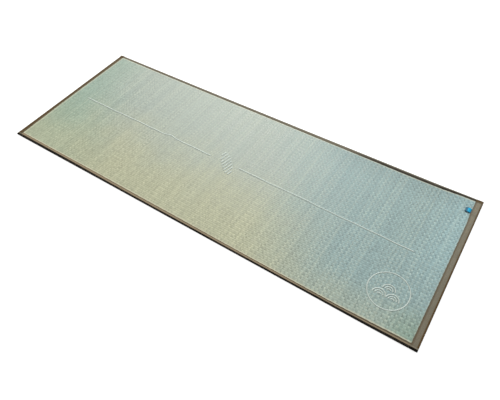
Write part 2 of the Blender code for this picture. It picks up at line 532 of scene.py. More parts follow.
CORD_WIDTH = 0.0046
CORD_RISE = 0.0015  # above the stems' crowns
CORD_SINK = 0.0006  # how far its underside lies in the furrows
CORD_UNDER = ((0.75, -0.7), (0.25, -1.0), (-0.25, -1.0), (-0.75, -0.7), (-0.95, -0.3))  # its points, as shares
CORD_TAPER = 0.004  # an open end of the line thins over this much...
SHORT_TAPER = 0.002  # ...and one of a fan or a bar over this much
CORD_TIP = 0.04  # the square of the share of its size that is left at the very end
LINE_RUNS = ((-0.805, -0.098), (0.034, 0.765))
LINE_STEP = 0.004
RING_CENTRE = (0.749, -0.1875)
RING_RADIUS = 0.069
RING_WIDTH = 0.0040
RING_RISE = 0.0012
FAN_CENTRES = ((-0.023, -0.027), (0.023, -0.027), (0.0, 0.001))
FAN_RADII = (0.0055, 0.0135, 0.0215)
FAN_WIDTH = 0.0044
FAN_RISE = 0.0015
BARS_CENTRE = (-0.020, 0.0)
BARS_SPREAD = (0.078, -0.072)  # from the first bar's middle to the last one's
BAR_COUNT = 8
BAR_LENGTH = 0.050
BAR_SHORTENED = 0.5  # the first and last bars are shorter by this share
BAR_LEAN = 0.24  # how far a bar goes to the right for each step back
BAR_WIDTH = 0.0050
BAR_RISE = 0.0014


def run_along(points):
    """Distance along a line of points, from its first one."""
    return np.concatenate([[0.0], np.cumsum(np.linalg.norm(np.diff(points, axis=0), axis=1))])


def square_to(ahead):
    """Unit vectors square to the directions ahead, (n, 2), on their left."""
    ahead = ahead / np.linalg.norm(ahead, axis=1)[:, None]
    return np.stack([-ahead[:, 1], ahead[:, 0]], -1)


def swept(name, rings, material, u=None, closed=False):
    """A tube through rings, an (n, m, 3) array of n loops of m points, m even. Its ends are capped by
    strips that pair point k with point m-1-k, unless closed, where the last ring joins the first. The UV
    map runs along the tube in u, and round it in v, both in metres."""
    n, m = rings.shape[:2]
    i, j = np.meshgrid(np.arange(n if closed else n - 1), np.arange(m), indexing="ij")
    i, j = i.ravel(), j.ravel()
    along, around = np.stack([i, i, i + 1, i + 1], -1), np.stack([j, j + 1, j + 1, j], -1)
    v = run_along(np.append(rings[n // 2], rings[n // 2][:1], 0))
    u = run_along(rings.mean(axis=1)) if u is None else u
    u = np.append(u, 2 * u[-1] - u[-2])
    faces = along % n * m + around % m
    uv = np.stack([u[along], v[around]], -1)
    if not closed:
        k = np.arange(m // 2 - 1)
        cap = np.stack([k, k + 1, m - 2 - k, m - 1 - k], -1)
        cap_uv = np.stack([u[0] + 0 * v[cap], v[cap]], -1)
        faces = np.concatenate([faces, cap[:, ::-1], cap + (n - 1) * m])
        uv = np.concatenate([uv, cap_uv[:, ::-1], cap_uv])
    return mesh_object(name, rings.reshape(-1, 3), faces, material, uv)


def couched_cord(path, width, rise, taper=CORD_TAPER, closed=False):
    """Rings of a cord sewn along path, an (n, 2) array on the mat's face: a half ellipse over a shallow
    bottom, standing on the face at each point, and drawn down to its tip by a square root over the taper at
    open ends."""
    aside = square_to(np.roll(path, -1, 0) - np.roll(path, 1, 0) if closed else np.gradient(path, axis=0))
    size = np.ones(len(path))
    if not closed:
        run = run_along(path)
        size = np.sqrt(np.clip(np.minimum(run, run[-1] - run) / taper, 0, 1) * (1 - CORD_TIP) + CORD_TIP)
    angle = np.radians([180, 150, 120, 90, 60, 30, 0])
    under_offset, under_height = np.array(CORD_UNDER).T
    offset = np.concatenate([np.cos(angle), under_offset]) * width / 2
    height = np.concatenate([np.sin(angle) * rise, under_height * CORD_SINK])
    at = path[:, None, :] + aside[:, None, :] * (offset[None, :] * size[:, None])[..., None]
    base = THICKNESS + stand_off(at[..., 0], at[..., 1])
    return np.concatenate([at, (base + height[None, :] * size[:, None])[..., None]], -1)


# The centre line's drift from true, in metres, at places along the mat, and its jog round a knot.
DRIFT_AT = np.array([-0.81, -0.10, 0.03, 0.30, 0.45, 0.60, 0.77])
DRIFT = np.array([0.0020, 0.0014, 0.0004, -0.0002, -0.0015, -0.0027, -0.0034])
JOG_AT = -0.315
JOG_SPREAD = 0.022
JOG = 0.0080


def centre_path(start, end):
    """A run of the centre line: along X, with its drift, a wander of two sines, and a bell-shaped jog."""
    x = np.linspace(start, end, int((end - start) / LINE_STEP))
    wander = 0.0007 * np.sin(23 * x + 0.5) + 0.0005 * np.sin(61 * x)
    jog = JOG * np.exp(-(((x - JOG_AT) / JOG_SPREAD) ** 2))
    return np.stack([x, eased(x, DRIFT_AT, DRIFT) + wander + jog], -1)


def circle_path(centre, radius, turn, steps):
    """Points of an arc of a circle, anticlockwise from its right-hand side through turn degrees."""
    angle = np.radians(turn * np.linspace(0, 1, steps, endpoint=turn < 360))
    return np.stack([centre[0] + radius * np.cos(angle), centre[1] + radius * np.sin(angle)], -1)


def joined(name, pieces):
    """Several mesh pieces made one."""
    bpy.ops.object.select_all(action="DESELECT")
    for piece in pieces:
        piece.select_set(True)
    bpy.context.view_layer.objects.active = pieces[0]
    bpy.ops.object.join()
    pieces[0].name = name
    pieces[0].data.name = name
    return pieces[0]


PLY_PITCH = 0.0026
CORD_COLOUR = (0.42, 0.48, 0.44, 1.0)
CORD_CREASE = (0.22, 0.25, 0.21, 1.0)  # painted shade between the plies, and on the flank away from the light
CORD_BLEACHED_AND_LIT = (0.76, 0.83, 0.81, 1.0)


def make_cord_material():
    """Rush-coloured twisted cord: slanting plies from a saw-tooth of its UV map, with painted shade between
    them and a few bleached flecks. The attribute flank runs from below 0, painted shade, to above 0, painted
    light."""
    material, w, shader = new_material("couched_cord", Roughness=0.55, Sheen_Weight=0.15)
    u, v, _ = w.split(w.cloth_coordinates())
    turn = w.math("FRACT", w.math("DIVIDE", w.add(u, w.times(v, 0.8)), PLY_PITCH))
    ply = w.math("SINE", w.times(turn, math.pi))
    fleck = w.noise(w.own_coordinates(), 900.0, 2.0)
    colour = w.mix(w.ramp(ply, 0.1, 0.8), CORD_CREASE, CORD_COLOUR)
    colour = w.mix(w.ramp(fleck, 0.4, 0.7, 0.0, 0.25), colour, CORD_BLEACHED_AND_LIT)
    # Painted light on the flank towards the light, and painted shade on the flank away from it.
    flank = w.attribute("flank")
    colour = w.mix(w.ramp(flank, 0.05, 0.7, 0.0, 0.85), colour, CORD_BLEACHED_AND_LIT)
    colour = w.mix(w.ramp(flank, -0.15, -0.8, 0.0, 0.18), colour, CORD_CREASE)
    w.dress(shader, colour, w.ramp(fleck, 0.3, 0.7, 0.45, 0.65), w.bump(ply, 0.00035))
    return material


cord_material = make_cord_material()

runs = []
for number, (start, end) in enumerate(LINE_RUNS):
    run = couched_cord(centre_path(start, end), CORD_WIDTH, CORD_RISE)
    runs.append(swept(f"centre_line_{number}", run, cord_material))
centre_line = joined("centre_line", runs)

ring = couched_cord(circle_path(RING_CENTRE, RING_RADIUS, 360, 140), RING_WIDTH, RING_RISE, closed=True)
motif = [swept("ring", ring, cord_material, closed=True)]
for number, (across, up) in enumerate(FAN_CENTRES):
    for radius in FAN_RADII:
        fan = (RING_CENTRE[0] + across, RING_CENTRE[1] + up)
        arc = couched_cord(circle_path(fan, radius, 180, 30), FAN_WIDTH, FAN_RISE, SHORT_TAPER)
        motif.append(swept(f"fan_{number}_{1000 * radius:.0f}", arc, cord_material))
ring_motif = joined("ring_motif", motif)

bars = []
for number in range(BAR_COUNT):
    share = number / (BAR_COUNT - 1) - 0.5
    middle = (BARS_CENTRE[0] + BARS_SPREAD[0] * share, BARS_CENTRE[1] + BARS_SPREAD[1] * share)
    length = BAR_LENGTH * (1 - BAR_SHORTENED * (2 * share) ** 4)
    along = length * np.linspace(-0.5, 0.5, 20)
    bar = np.stack([middle[0] + BAR_LEAN * along, middle[1] + along], -1)
    bars.append(swept(f"bar_{number}", couched_cord(bar, BAR_WIDTH, BAR_RISE, SHORT_TAPER), cord_material))
centre_motif = joined("centre_motif", bars)

TO_LIGHT = np.array([-0.8, 1.0, 0.0])  # the cords are painted lighter on the side towards the light, and darker on the other...
LINE_PAINTED_LIGHT = 0.10  # ...the centre line painted lighter on top too, by this much...
BARS_PAINTED_LIGHT = 0.20  # ...and the bars by this much
for piece, on_top in ((centre_line, LINE_PAINTED_LIGHT), (ring_motif, 0.0), (centre_motif, BARS_PAINTED_LIGHT)):
    facing = np.empty(3 * len(piece.data.vertices), np.float32)
    piece.data.vertex_normals.foreach_get("vector", facing)
    set_attribute(piece, "flank", facing.reshape(-1, 3) @ (TO_LIGHT + (0, 0, on_top)))


# ---------------------------------------------------------------------------------------------
# THE LONG TAPES
# Taupe woven cloth tape, folded in half over each long rim and stitched through both leaves a little
# inside its free edges. It crowns between the fold and the stitches, and dips under the end tapes.

TAPE_THICK = 0.0008
LEAF_GAP = 0.00002  # where a fold is drawn shut, each leaf's inside stays this far from its middle
FOLD_DEPTH = 0.0028  # the fold's rounding reaches this far in
FOLD_POWER = 0.75  # under 1 is squarer than an ellipse
TAPE_CROWN = 0.00035
PUCKER = 0.30  # share by which the crown swells and shrinks along the tape
PUCKER_PITCH = 0.0125
WANDER = 0.00022  # unevenness of the free edge
SEAM_IN = 0.0026  # from the free edge to the stitches
SEAM_HALF = 0.0010
SEAM_DEPTH = 0.00055
STATION_GAP = 0.004  # between a tape's sections, except over its last stretch at both ends...
FINE_STRETCH = 0.045  # ...which is this long
LONG_SETBACK = 0.0026  # a long tape's ends stop this far inside the mat's
TUCK_LEFT = (0.0213, 0.0178)  # a long tape dives under the left end tape this far from the end...
TUCK_RIGHT = (0.0290, 0.0255)  # ...and under the right one this far
OVER_RISE = 0.0006  # an end tape stands this much higher where it crosses a long tape
UNDER_TOP = 0.0004  # a long tape dips this much to pass under an end tape...
UNDER_BOTTOM = 0.0010  # ...its bottom leaf rises this much, off the floor...
UNDER_IN = 0.0013  # ...and its fold is drawn in this much


def leaf_height(inward, reach, swell):
    """Height of a leaf's outside over its nominal face: a sine crown from the fold to the seam, times
    swell, less a bell-shaped groove at the seam."""
    crown = np.clip((inward - FOLD_DEPTH) / (reach - SEAM_IN - FOLD_DEPTH), 0, 1)
    groove = np.exp(-(((inward - reach + SEAM_IN) / SEAM_HALF) ** 2))
    return TAPE_CROWN * swell * np.sin(np.pi * crown) - SEAM_DEPTH * groove


def tape_profile(reach, half, swell, offset):
    """Distance in and height over mid-thickness, (n, k) each, of the surface offset below the tape's
    outside, from the top leaf's free edge round the fold to the bottom leaf's. The fold is a superellipse,
    and the bottom leaf is pressed flat."""
    share = np.linspace(0, 1, 18)[None, :-1] ** 1.25
    leaf = reach - (reach - FOLD_DEPTH) * share
    rise = half - offset + leaf_height(leaf, reach, swell)
    under = half - offset + leaf_height(leaf, reach, 0.0)
    turn = np.radians(np.linspace(90, -90, 15))[None, :]
    fold = FOLD_DEPTH - (FOLD_DEPTH - offset) * np.cos(turn).clip(0) ** FOLD_POWER
    side = (half - offset) * np.sign(np.sin(turn)) * np.abs(np.sin(turn)) ** FOLD_POWER
    inward = np.concatenate([leaf, fold + 0 * reach, leaf[:, ::-1]], 1)
    height = np.concatenate([rise, side, -under[:, ::-1]], 1)
    return inward, height


def tape_loop(along, reach, half, pinch):
    """The tape's whole section as one loop at each place along it: its outside, then its inside back again.
    pinch under 1 draws the two leaves together, until their insides all but meet."""
    wander = WANDER * (np.sin(310 * along) + np.sin(173 * along + 2) + 0.6 * np.sin(719 * along + 1))
    swell = 1 + PUCKER * np.sin(2 * np.pi * along / PUCKER_PITCH + 2.5 * np.sin(37 * along))
    reach, half, pinch, swell = (value[:, None] for value in (reach + wander, half, pinch, swell))
    outer_in, outer = tape_profile(reach, half, swell, 0.0)
    inner_in, inner = tape_profile(reach, half, swell, TAPE_THICK)
    inner = np.sign(inner) * np.clip((np.abs(inner) + TAPE_THICK) * pinch - TAPE_THICK, LEAF_GAP, None)
    inward = np.concatenate([outer_in, inner_in[:, ::-1]], 1)
    return inward, np.concatenate([outer * pinch, inner[:, ::-1]], 1)


def stations(half_span):
    """Places from -half_span to half_span, ever closer together over the last stretch at both ends."""
    inner = half_span - FINE_STRETCH
    middle = np.arange(-inner + STATION_GAP, inner - STATION_GAP / 2, STATION_GAP)
    ends = FINE_STRETCH * np.linspace(0, 1, 36) ** 1.6
    return np.concatenate([-half_span + ends, middle, half_span - ends[::-1]])


# Painted light and shade on each long tape, as (share of its reach, painted light), from the left. A share of
# 0 is its outer rim and
# 1 its free edge; the value is -1 where the painted shade is darkest and 1 where a painted highlight is
# palest.
FRONT_PAINTED_SHADING_LEFT = ((0.0, -1.0), (0.46, -1.0), (0.54, 0.25), (0.80, 0.20), (1.0, -0.25))
FRONT_PAINTED_SHADING_MIDDLE = ((0.0, -1.0), (0.33, -1.0), (0.44, 0.20), (0.66, 0.25), (0.80, -0.30), (1.0, -0.35))
FRONT_PAINTED_SHADING = ((0.0, -1.0), (0.37, -1.0), (0.46, 0.10), (0.60, 0.15), (0.72, -0.55), (1.0, -0.55))
FRONT_CHANGES = ((-0.60, -0.30), (0.42, 0.56))  # where it passes from each table to the next
BACK_PAINTED_SHADING_LEFT = ((0.0, 0.05), (0.20, 0.05), (0.40, -0.20), (1.0, -0.22))
BACK_PAINTED_SHADING = ((0.0, 0.00), (0.20, 0.00), (0.36, -0.20), (0.48, -0.80), (0.85, -0.85), (1.0, -0.50))
BACK_CHANGES = ((0.32, 0.50),)
FOOT_SHADE = -1.0  # painted shade on the lower part of every rim...
FOOT_SPAN = (-0.0008, 0.0016)  # ...which sets in and is whole this far below mid-thickness


def painted_light_at(inward, height, reach, table):
    """Painted light and shade at each point of a tape's sections: straight between the table's places on the
    top leaf, and passing into the foot's painted shade round mid-thickness by an S-curve."""
    share, painted_light = np.array(table).T
    top = np.interp(inward / reach[:, None], share, painted_light)
    return top + (FOOT_SHADE - top) * smooth(-height, *FOOT_SPAN)


def long_tape(name, edge, reach_at, side, painted_light, changes, material):
    """Tape along a long edge: its section set at each x with its outer face on the edge, drawn in and
    thinned by S-curves where it passes under the end tapes."""
    x = stations(HALF_LENGTH - LONG_SETBACK)
    reach = reach_at(x)
    left, right = HALF_LENGTH - np.array([TUCK_LEFT, TUCK_RIGHT])
    tuck = smooth(-x, *left) + smooth(x, *right)
    half = MID_HEIGHT - (UNDER_TOP + UNDER_BOTTOM) / 2 * tuck
    inward, height = tape_loop(x, reach, half, 1 + 0 * x)
    y = edge(x)[:, None] - side * (inward + UNDER_IN * tuck[:, None])
    centre = MID_HEIGHT + (UNDER_BOTTOM - UNDER_TOP) / 2 * tuck[:, None]
    xx = x[:, None] + 0 * y
    piece = swept(name, np.stack([xx, y, centre + height + stand_off(xx, y)], -1), material, u=x)
    # Painted light and shade from the tables, passing from one to the next along the tape.
    shown = painted_light_at(inward, height, reach, painted_light[0])
    for table, (start, end) in zip(painted_light[1:], changes):
        shown = shown + (painted_light_at(inward, height, reach, table) - shown) * smooth(x, start, end)[:, None]
    set_attribute(piece, "painted_light", shown)
    return piece


TWILL_PITCH = 0.0011


def tape_weave_group():
    """A fine twill: Thread is the height of slanting ribs crossed by finer picks, and Fleck a random tone
    for each little stretch of yarn."""
    group, given, result = node_group(
        "tape_weave", [("Place", (0.0, 0.0, 0.0)), ("Pitch", TWILL_PITCH)], ["Thread", "Fleck"]
    )
    w = Wiring(group)
    u, v, _ = w.split(given["Place"])
    along = w.math("DIVIDE", u, given["Pitch"])
    across = w.math("DIVIDE", v, given["Pitch"])
    rib = w.math("SINE", w.times(w.math("FRACT", w.add(along, across)), math.pi))
    pick = w.math("SINE", w.times(w.math("FRACT", w.times(across, 2.0)), math.pi))
    w.feed(result["Thread"], w.times(w.add(rib, w.times(pick, 0.4)), 0.7))
    yarn = w.math("FLOOR", w.times(across, 2.0))
    w.feed(result["Fleck"], w.random(w.math("FLOOR", w.times(along, 0.5)), yarn))
    return group


tape_weave = tape_weave_group()

TAPE_DARK = (0.085, 0.070, 0.050, 1.0)
TAPE_MID = (0.165, 0.145, 0.110, 1.0)
TAPE_LIGHT = (0.260, 0.230, 0.175, 1.0)
# Painted shade, black and, for the end tapes, brown; and a pale painted highlight.
TAPE_SHADE_BLACK = (0.003, 0.002, 0.001, 1.0)
TAPE_SHADE_BROWN = (0.050, 0.028, 0.009, 1.0)
TAPE_HIGHLIGHT = (0.46, 0.37, 0.25, 1.0)


def make_tape_material(name, tint, shade_colour):
    """Matt taupe tape: twill ribs with painted shade between them, yarn flecks and cloudy fading. The
    attribute for painted light runs from -1, painted shade, to 1, painted highlight, and below -1.2 the tape
    is painted black as the deepest shade."""
    material, w, shader = new_material(name, Roughness=0.88, Specular_IOR_Level=0.08)
    weave = w.place(tape_weave, Place=w.cloth_coordinates())
    cloud = w.noise(w.own_coordinates(), 38.0, 3.0, 0.6)
    colour = w.mix(w.spread(weave["Fleck"], 0.0, 0.55), TAPE_MID, TAPE_LIGHT)
    # Painted shade between the twill ribs.
    colour = w.mix(w.ramp(weave["Thread"], 0.0, 0.6, 0.5, 0.0), colour, TAPE_DARK)
    colour = w.mix(w.ramp(cloud, 0.35, 0.7, 0.0, 0.3), colour, TAPE_DARK)
    # Each tape's tint lightens or darkens its copy as painted light and shade.
    colour = w.mix(1.0, colour, tint, "MULTIPLY")
    # Cloudy patches break up the painted light and shade.
    painted_light = w.add(w.attribute("painted_light"), w.times(w.math("SUBTRACT", cloud, 0.5), 0.55))
    colour = w.mix(w.ramp(painted_light, 0.05, 1.0, kind="LINEAR"), colour, TAPE_HIGHLIGHT)
    # Painted shade, a little lighter on the ribs, then black past -1.2.
    shade_on_rib = tuple(1.6 * part + 0.006 for part in shade_colour[:3]) + (1.0,)
    shade_on_weave = w.mix(w.ramp(weave["Thread"], 0.1, 0.7), shade_colour, shade_on_rib)
    colour = w.mix(w.ramp(painted_light, -0.05, -1.0, kind="LINEAR"), colour, shade_on_weave)
    colour = w.mix(w.ramp(painted_light, -1.2, -1.9), colour, TAPE_SHADE_BLACK)
    w.dress(shader, colour, w.spread(weave["Fleck"], 0.75, 0.95), w.bump(weave["Thread"], 0.00018))
    return material


# Lit and shaded copies of one tape: the front one lighter and warmer as painted light, the back one a little
# darker.
front_cloth = make_tape_material("front_tape", (1.25, 1.10, 0.96, 1.0), TAPE_SHADE_BLACK)
back_cloth = make_tape_material("back_tape", (0.95, 0.95, 0.95, 1.0), TAPE_SHADE_BLACK)
front_painted_shading = (FRONT_PAINTED_SHADING_LEFT, FRONT_PAINTED_SHADING_MIDDLE, FRONT_PAINTED_SHADING)
back_painted_shading = (BACK_PAINTED_SHADING_LEFT, BACK_PAINTED_SHADING)
front_tape = long_tape("tape_front", front_edge, front_reach, -1, front_painted_shading, FRONT_CHANGES, front_cloth)
back_tape = long_tape("tape_back", back_edge, back_reach, 1, back_painted_shading, BACK_CHANGES, back_cloth)
for piece, node, slot in (
    (front_tape, "binding_front", "front_tape"),
    (back_tape, "binding_back", "back_tape"),
):
    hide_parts(node)


# ---------------------------------------------------------------------------------------------
# THE END TAPES
# The same tape over each end, put on last: it covers the long tapes' ends, and its own cut ends are turned
# under, so that each corner is closed and rounded. The right one is wider than the left.

PINCHED = 0.14  # at its very end the tape is this share of its full height...
PINCHED_IN = 0.0010  # ...and its fold is drawn in almost this much
CLIMB_SPAN = (-0.0022, 0.0004)  # an end tape climbs a long one between these distances from its free edge

# Painted light and shade across each end tape, as (share of its reach, value), as for the long tapes.
LEFT_PAINTED_SHADING = ((0.0, 0.0), (0.18, -0.15), (0.36, -0.92), (0.64, -0.95), (0.8, -0.25), (0.92, 0.05), (1.0, 0.0))
RIGHT_PAINTED_SHADING = ((0.0, -1.0), (0.05, -1.0), (0.17, -0.95), (0.28, -0.05), (0.7, 0.0), (0.82, -0.4), (1.0, -0.4))
LEFT_PAINTED_FALLOFF = 0.15  # painted light and shade: the left tape is paler by this much at its back end, and darker at its front end...
RIGHT_PAINTED_FALLOFF = 0.20  # ...and the right tape by this much
CROSSING_SPAN = (-0.01575, -0.0084)  # the front tape's painted light and shade is taken on this far from the front rim
BLACK_FROM = -0.9  # where the front tape's painted shade is below this, an end tape has...
BLACKENED = -2.0  # ...this, painted black as the deepest shade
# Painted shade in each end tape's back corner, of this value,
BACK_CORNER_SHADE = -0.85
BACK_CORNER = (0.016, 0.009)  # which is taken on this far from the back rim

# The right end tape stands higher where the label's two layers go under it.
LABEL_LIFT = 0.0014
LABEL_SPAN = (0.254, 0.276)
LABEL_SLOPE = 0.006


def over_label(y):
    """How much higher the right end tape stands at y: an S-curve up before the label and down after it."""
    start, end = LABEL_SPAN
    return LABEL_LIFT * (smooth(y, start - LABEL_SLOPE, start) - smooth(y, end, end + LABEL_SLOPE))


def over_long(x, y):
    """How much higher an end tape stands at (x, y): an S-curve up as it climbs each long tape's free edge."""
    in_front = smooth(front_reach(x) - HALF_WIDTH - y, *CLIMB_SPAN)
    behind = smooth(back_reach(x) - HALF_WIDTH + y, *CLIMB_SPAN)
    return OVER_RISE * (in_front + behind)


def end_tape(name, side, out, reach_at, painted_light, painted_falloff, material):
    """Tape over an end: its section set at each y, raised over the long tapes, and drawn together by a
    quarter circle over its last millimetres, where its end is turned under."""
    half_span = HALF_WIDTH + (FRONT_OUT + BACK_OUT) / 2
    y = stations(half_span)
    near_end = np.clip((half_span - np.abs(y)) / FOLD_DEPTH, 0, 1)
    y = y + (BACK_OUT - FRONT_OUT) / 2
    end_x = side * HALF_LENGTH + 0 * y
    reach = reach_at(y)
    pinch = PINCHED + (1 - PINCHED) * np.sqrt(1 - (1 - near_end) ** 2)
    rise = over_long(end_x, y) + over_label(y) * (side > 0)
    inward, height = tape_loop(y, reach, (THICKNESS + rise) / 2, pinch)
    x = side * (HALF_LENGTH + out - inward - (1 - pinch[:, None]) * PINCHED_IN)
    yy = y[:, None] + 0 * x
    z = (THICKNESS + rise[:, None]) / 2 + height + stand_off(x, yy)
    piece = swept(name, np.stack([x, yy, z], -1), material, u=y)
    # Painted light and shade: the table across the tape, a falloff from back to front, painted shade in the
    # back corner, and the front tape's painted shade carried round the front corner.
    shown = painted_light_at(inward, height, reach, painted_light) + painted_falloff * yy / HALF_WIDTH
    near_back = smooth(yy, *(HALF_WIDTH - np.array(BACK_CORNER)))
    shown = shown + (BACK_CORNER_SHADE - shown) * near_back
    from_front = yy + HALF_WIDTH + FRONT_OUT
    crossing = painted_light_at(from_front, height, front_reach(end_x), FRONT_PAINTED_SHADING)
    crossing = np.where(crossing < BLACK_FROM, BLACKENED, crossing)
    set_attribute(piece, "painted_light", shown + (crossing - shown) * smooth(-from_front, *CROSSING_SPAN))
    return piece


# The left copy is darker, as painted shade.
left_cloth = make_tape_material("left_tape", (0.78, 0.79, 0.76, 1.0), TAPE_SHADE_BROWN)
right_cloth = make_tape_material("right_tape", (0.98, 1.0, 1.0, 1.0), TAPE_SHADE_BROWN)
left_tape = end_tape("tape_left", -1, LEFT_OUT, left_reach, LEFT_PAINTED_SHADING, LEFT_PAINTED_FALLOFF, left_cloth)
right_tape = end_tape("tape_right", 1, 0.0, right_reach, RIGHT_PAINTED_SHADING, RIGHT_PAINTED_FALLOFF, right_cloth)
for piece, node, slot, flat in (
    (left_tape, "binding_left", "left_tape", 0.045),
    (right_tape, "binding_right", "right_tape", 0.055),
):
    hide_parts(node)


# ---------------------------------------------------------------------------------------------
# THE STITCHING
# Dark thread, lock-stitched through tape and rush just inside each tape's free edge. Each stitch is a short
# arched grain lying in the groove, on the top and on the underside.

STITCH_LENGTH = 0.0040
STITCH_STEP = 0.0052
STITCH_RADIUS = 0.00040
STITCH_RINGS = ((-0.34, 0.85, 0.00002), (0.0, 1.0, 0.00015), (0.34, 0.85, 0.00002))  # along, girth, height
STITCH_SUNK = 0.0004  # depth of its tips
SEAM_TOP = THICKNESS - SEAM_DEPTH + 0.0001
SEAM_BOTTOM = 0.00060
LONG_ROW_ENDS = (0.020, 0.030)  # a long tape's row stops this far from the mat's left and right ends...
END_ROW_ENDS = (0.006, 0.005)  # ...and an end tape's this far from its front and back


def stitch_shape():
    """One stitch as (points, faces): a spindle of three five-sided rings between two tips, arched upwards."""
    along, girth, arch = np.array(STITCH_RINGS).T[..., None]
    angle = np.radians(np.arange(5) * 72 + 18)[None, :]
    aside, up = girth * STITCH_RADIUS * np.cos(angle), arch + girth * STITCH_RADIUS * np.sin(angle)
    rings = np.stack([along * STITCH_LENGTH + 0 * angle, aside, up], -1)
    tips = np.array([[-STITCH_LENGTH / 2, 0, -STITCH_SUNK], [STITCH_LENGTH / 2, 0, -STITCH_SUNK]])
    k = np.arange(5)
    n = (k + 1) % 5
    one, other = np.stack([k, n, 5 + n], -1), np.stack([k, 5 + n, 5 + k], -1)
    walls = [one, other, 5 + one, 5 + other]
    ends = [np.stack([k * 0 + 15, n, k], -1), np.stack([k * 0 + 16, 10 + k, 10 + n], -1)]
    return np.concatenate([rings.reshape(-1, 3), tips]), np.concatenate(walls + ends)


def stitch_row(name, x, y, rise, ahead, material):
    """A stitch at each (x, y), lying along ahead, in the groove on the top, and another on the underside."""
    shape, faces = stitch_shape()
    basis = np.stack([ahead, np.cross((0, 0, 1), ahead), (0, 0, 1)])
    top = np.stack([x, y, SEAM_TOP + rise + stand_off(x, y)], -1)
    bottom = np.stack([x, y, SEAM_BOTTOM + stand_off(x, y)], -1)
    upper = top[:, None, :] + (shape @ basis)[None]
    lower = bottom[:, None, :] + (shape * (1, 1, -1) @ basis)[None]
    shift = np.arange(len(x))[:, None, None] * len(shape)
    above = (faces[None] + shift).reshape(-1, 3)
    below = (faces[None, :, ::-1] + shift + len(x) * len(shape)).reshape(-1, 3)
    points = np.concatenate([upper.reshape(-1, 3), lower.reshape(-1, 3)])
    return mesh_object(name, points, np.concatenate([above, below]), material)


THREAD_DARK = (0.045, 0.036, 0.024, 1.0)
THREAD_LIGHT = (0.10, 0.085, 0.06, 1.0)


def make_thread_material():
    """Dark brown thread with a slight gloss and a fine twist."""
    material, w, shader = new_material("seam_thread", Roughness=0.5)
    twist = w.noise(w.own_coordinates(), 2200.0, 1.0)
    colour = w.mix(w.ramp(twist, 0.3, 0.7), THREAD_DARK, THREAD_LIGHT)
    w.dress(shader, colour, w.ramp(twist, 0.3, 0.7, 0.45, 0.65))
    return material


thread = make_thread_material()
along_x = np.arange(-HALF_LENGTH + LONG_ROW_ENDS[0], HALF_LENGTH - LONG_ROW_ENDS[1], STITCH_STEP)
along_y = np.arange(-HALF_WIDTH + END_ROW_ENDS[0], HALF_WIDTH - END_ROW_ENDS[1], STITCH_STEP)
for name, x, y, ahead in (
    ("front", along_x, front_edge(along_x) + front_reach(along_x) - SEAM_IN, (1.0, 0.0, 0.0)),
    ("back", along_x, back_edge(along_x) - back_reach(along_x) + SEAM_IN, (1.0, 0.0, 0.0)),
    ("left", left_reach(along_y) - HALF_LENGTH - LEFT_OUT - SEAM_IN, along_y, (0.0, 1.0, 0.0)),
    ("right", HALF_LENGTH - right_reach(along_y) + SEAM_IN, along_y, (0.0, 1.0, 0.0)),
):
    rise = over_long(x, y) * (ahead[1] > 0) + over_label(y) * (name == "right")
    row = stitch_row(f"stitches_{name}", x, y, rise, np.array(ahead), thread)


# ---------------------------------------------------------------------------------------------
# THE LABEL LOOP
# A plain satin ribbon, bright blue, folded double and caught under the right end tape. It lies on the rush
# with its fold towards the middle of the mat, and its upper layer bellies up a little.

label_low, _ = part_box("label_loop")
RIBBON_THICK = 0.0005
RIBBON_FOLD = 0.0011  # radius of the fold
RIBBON_HUMP = 0.0012
RIBBON_SINK = 0.0009  # how far both layers sink to pass under the tape
RIBBON_CLEAR = 0.0003  # from the stems' crowns to the lower layer's middle
LAYER_GAP = 0.0001  # between the two layers, under the tape
RIBBON_DROOP = 0.0006  # of the upper layer's selvedges
RIBBON_WAVER = 0.0004  # unevenness of the fold's line
LABEL_TUCK = 0.0015  # how much of the ribbon goes under the tape
LABEL_PAST = 0.0008  # it reaches this much further than nominal


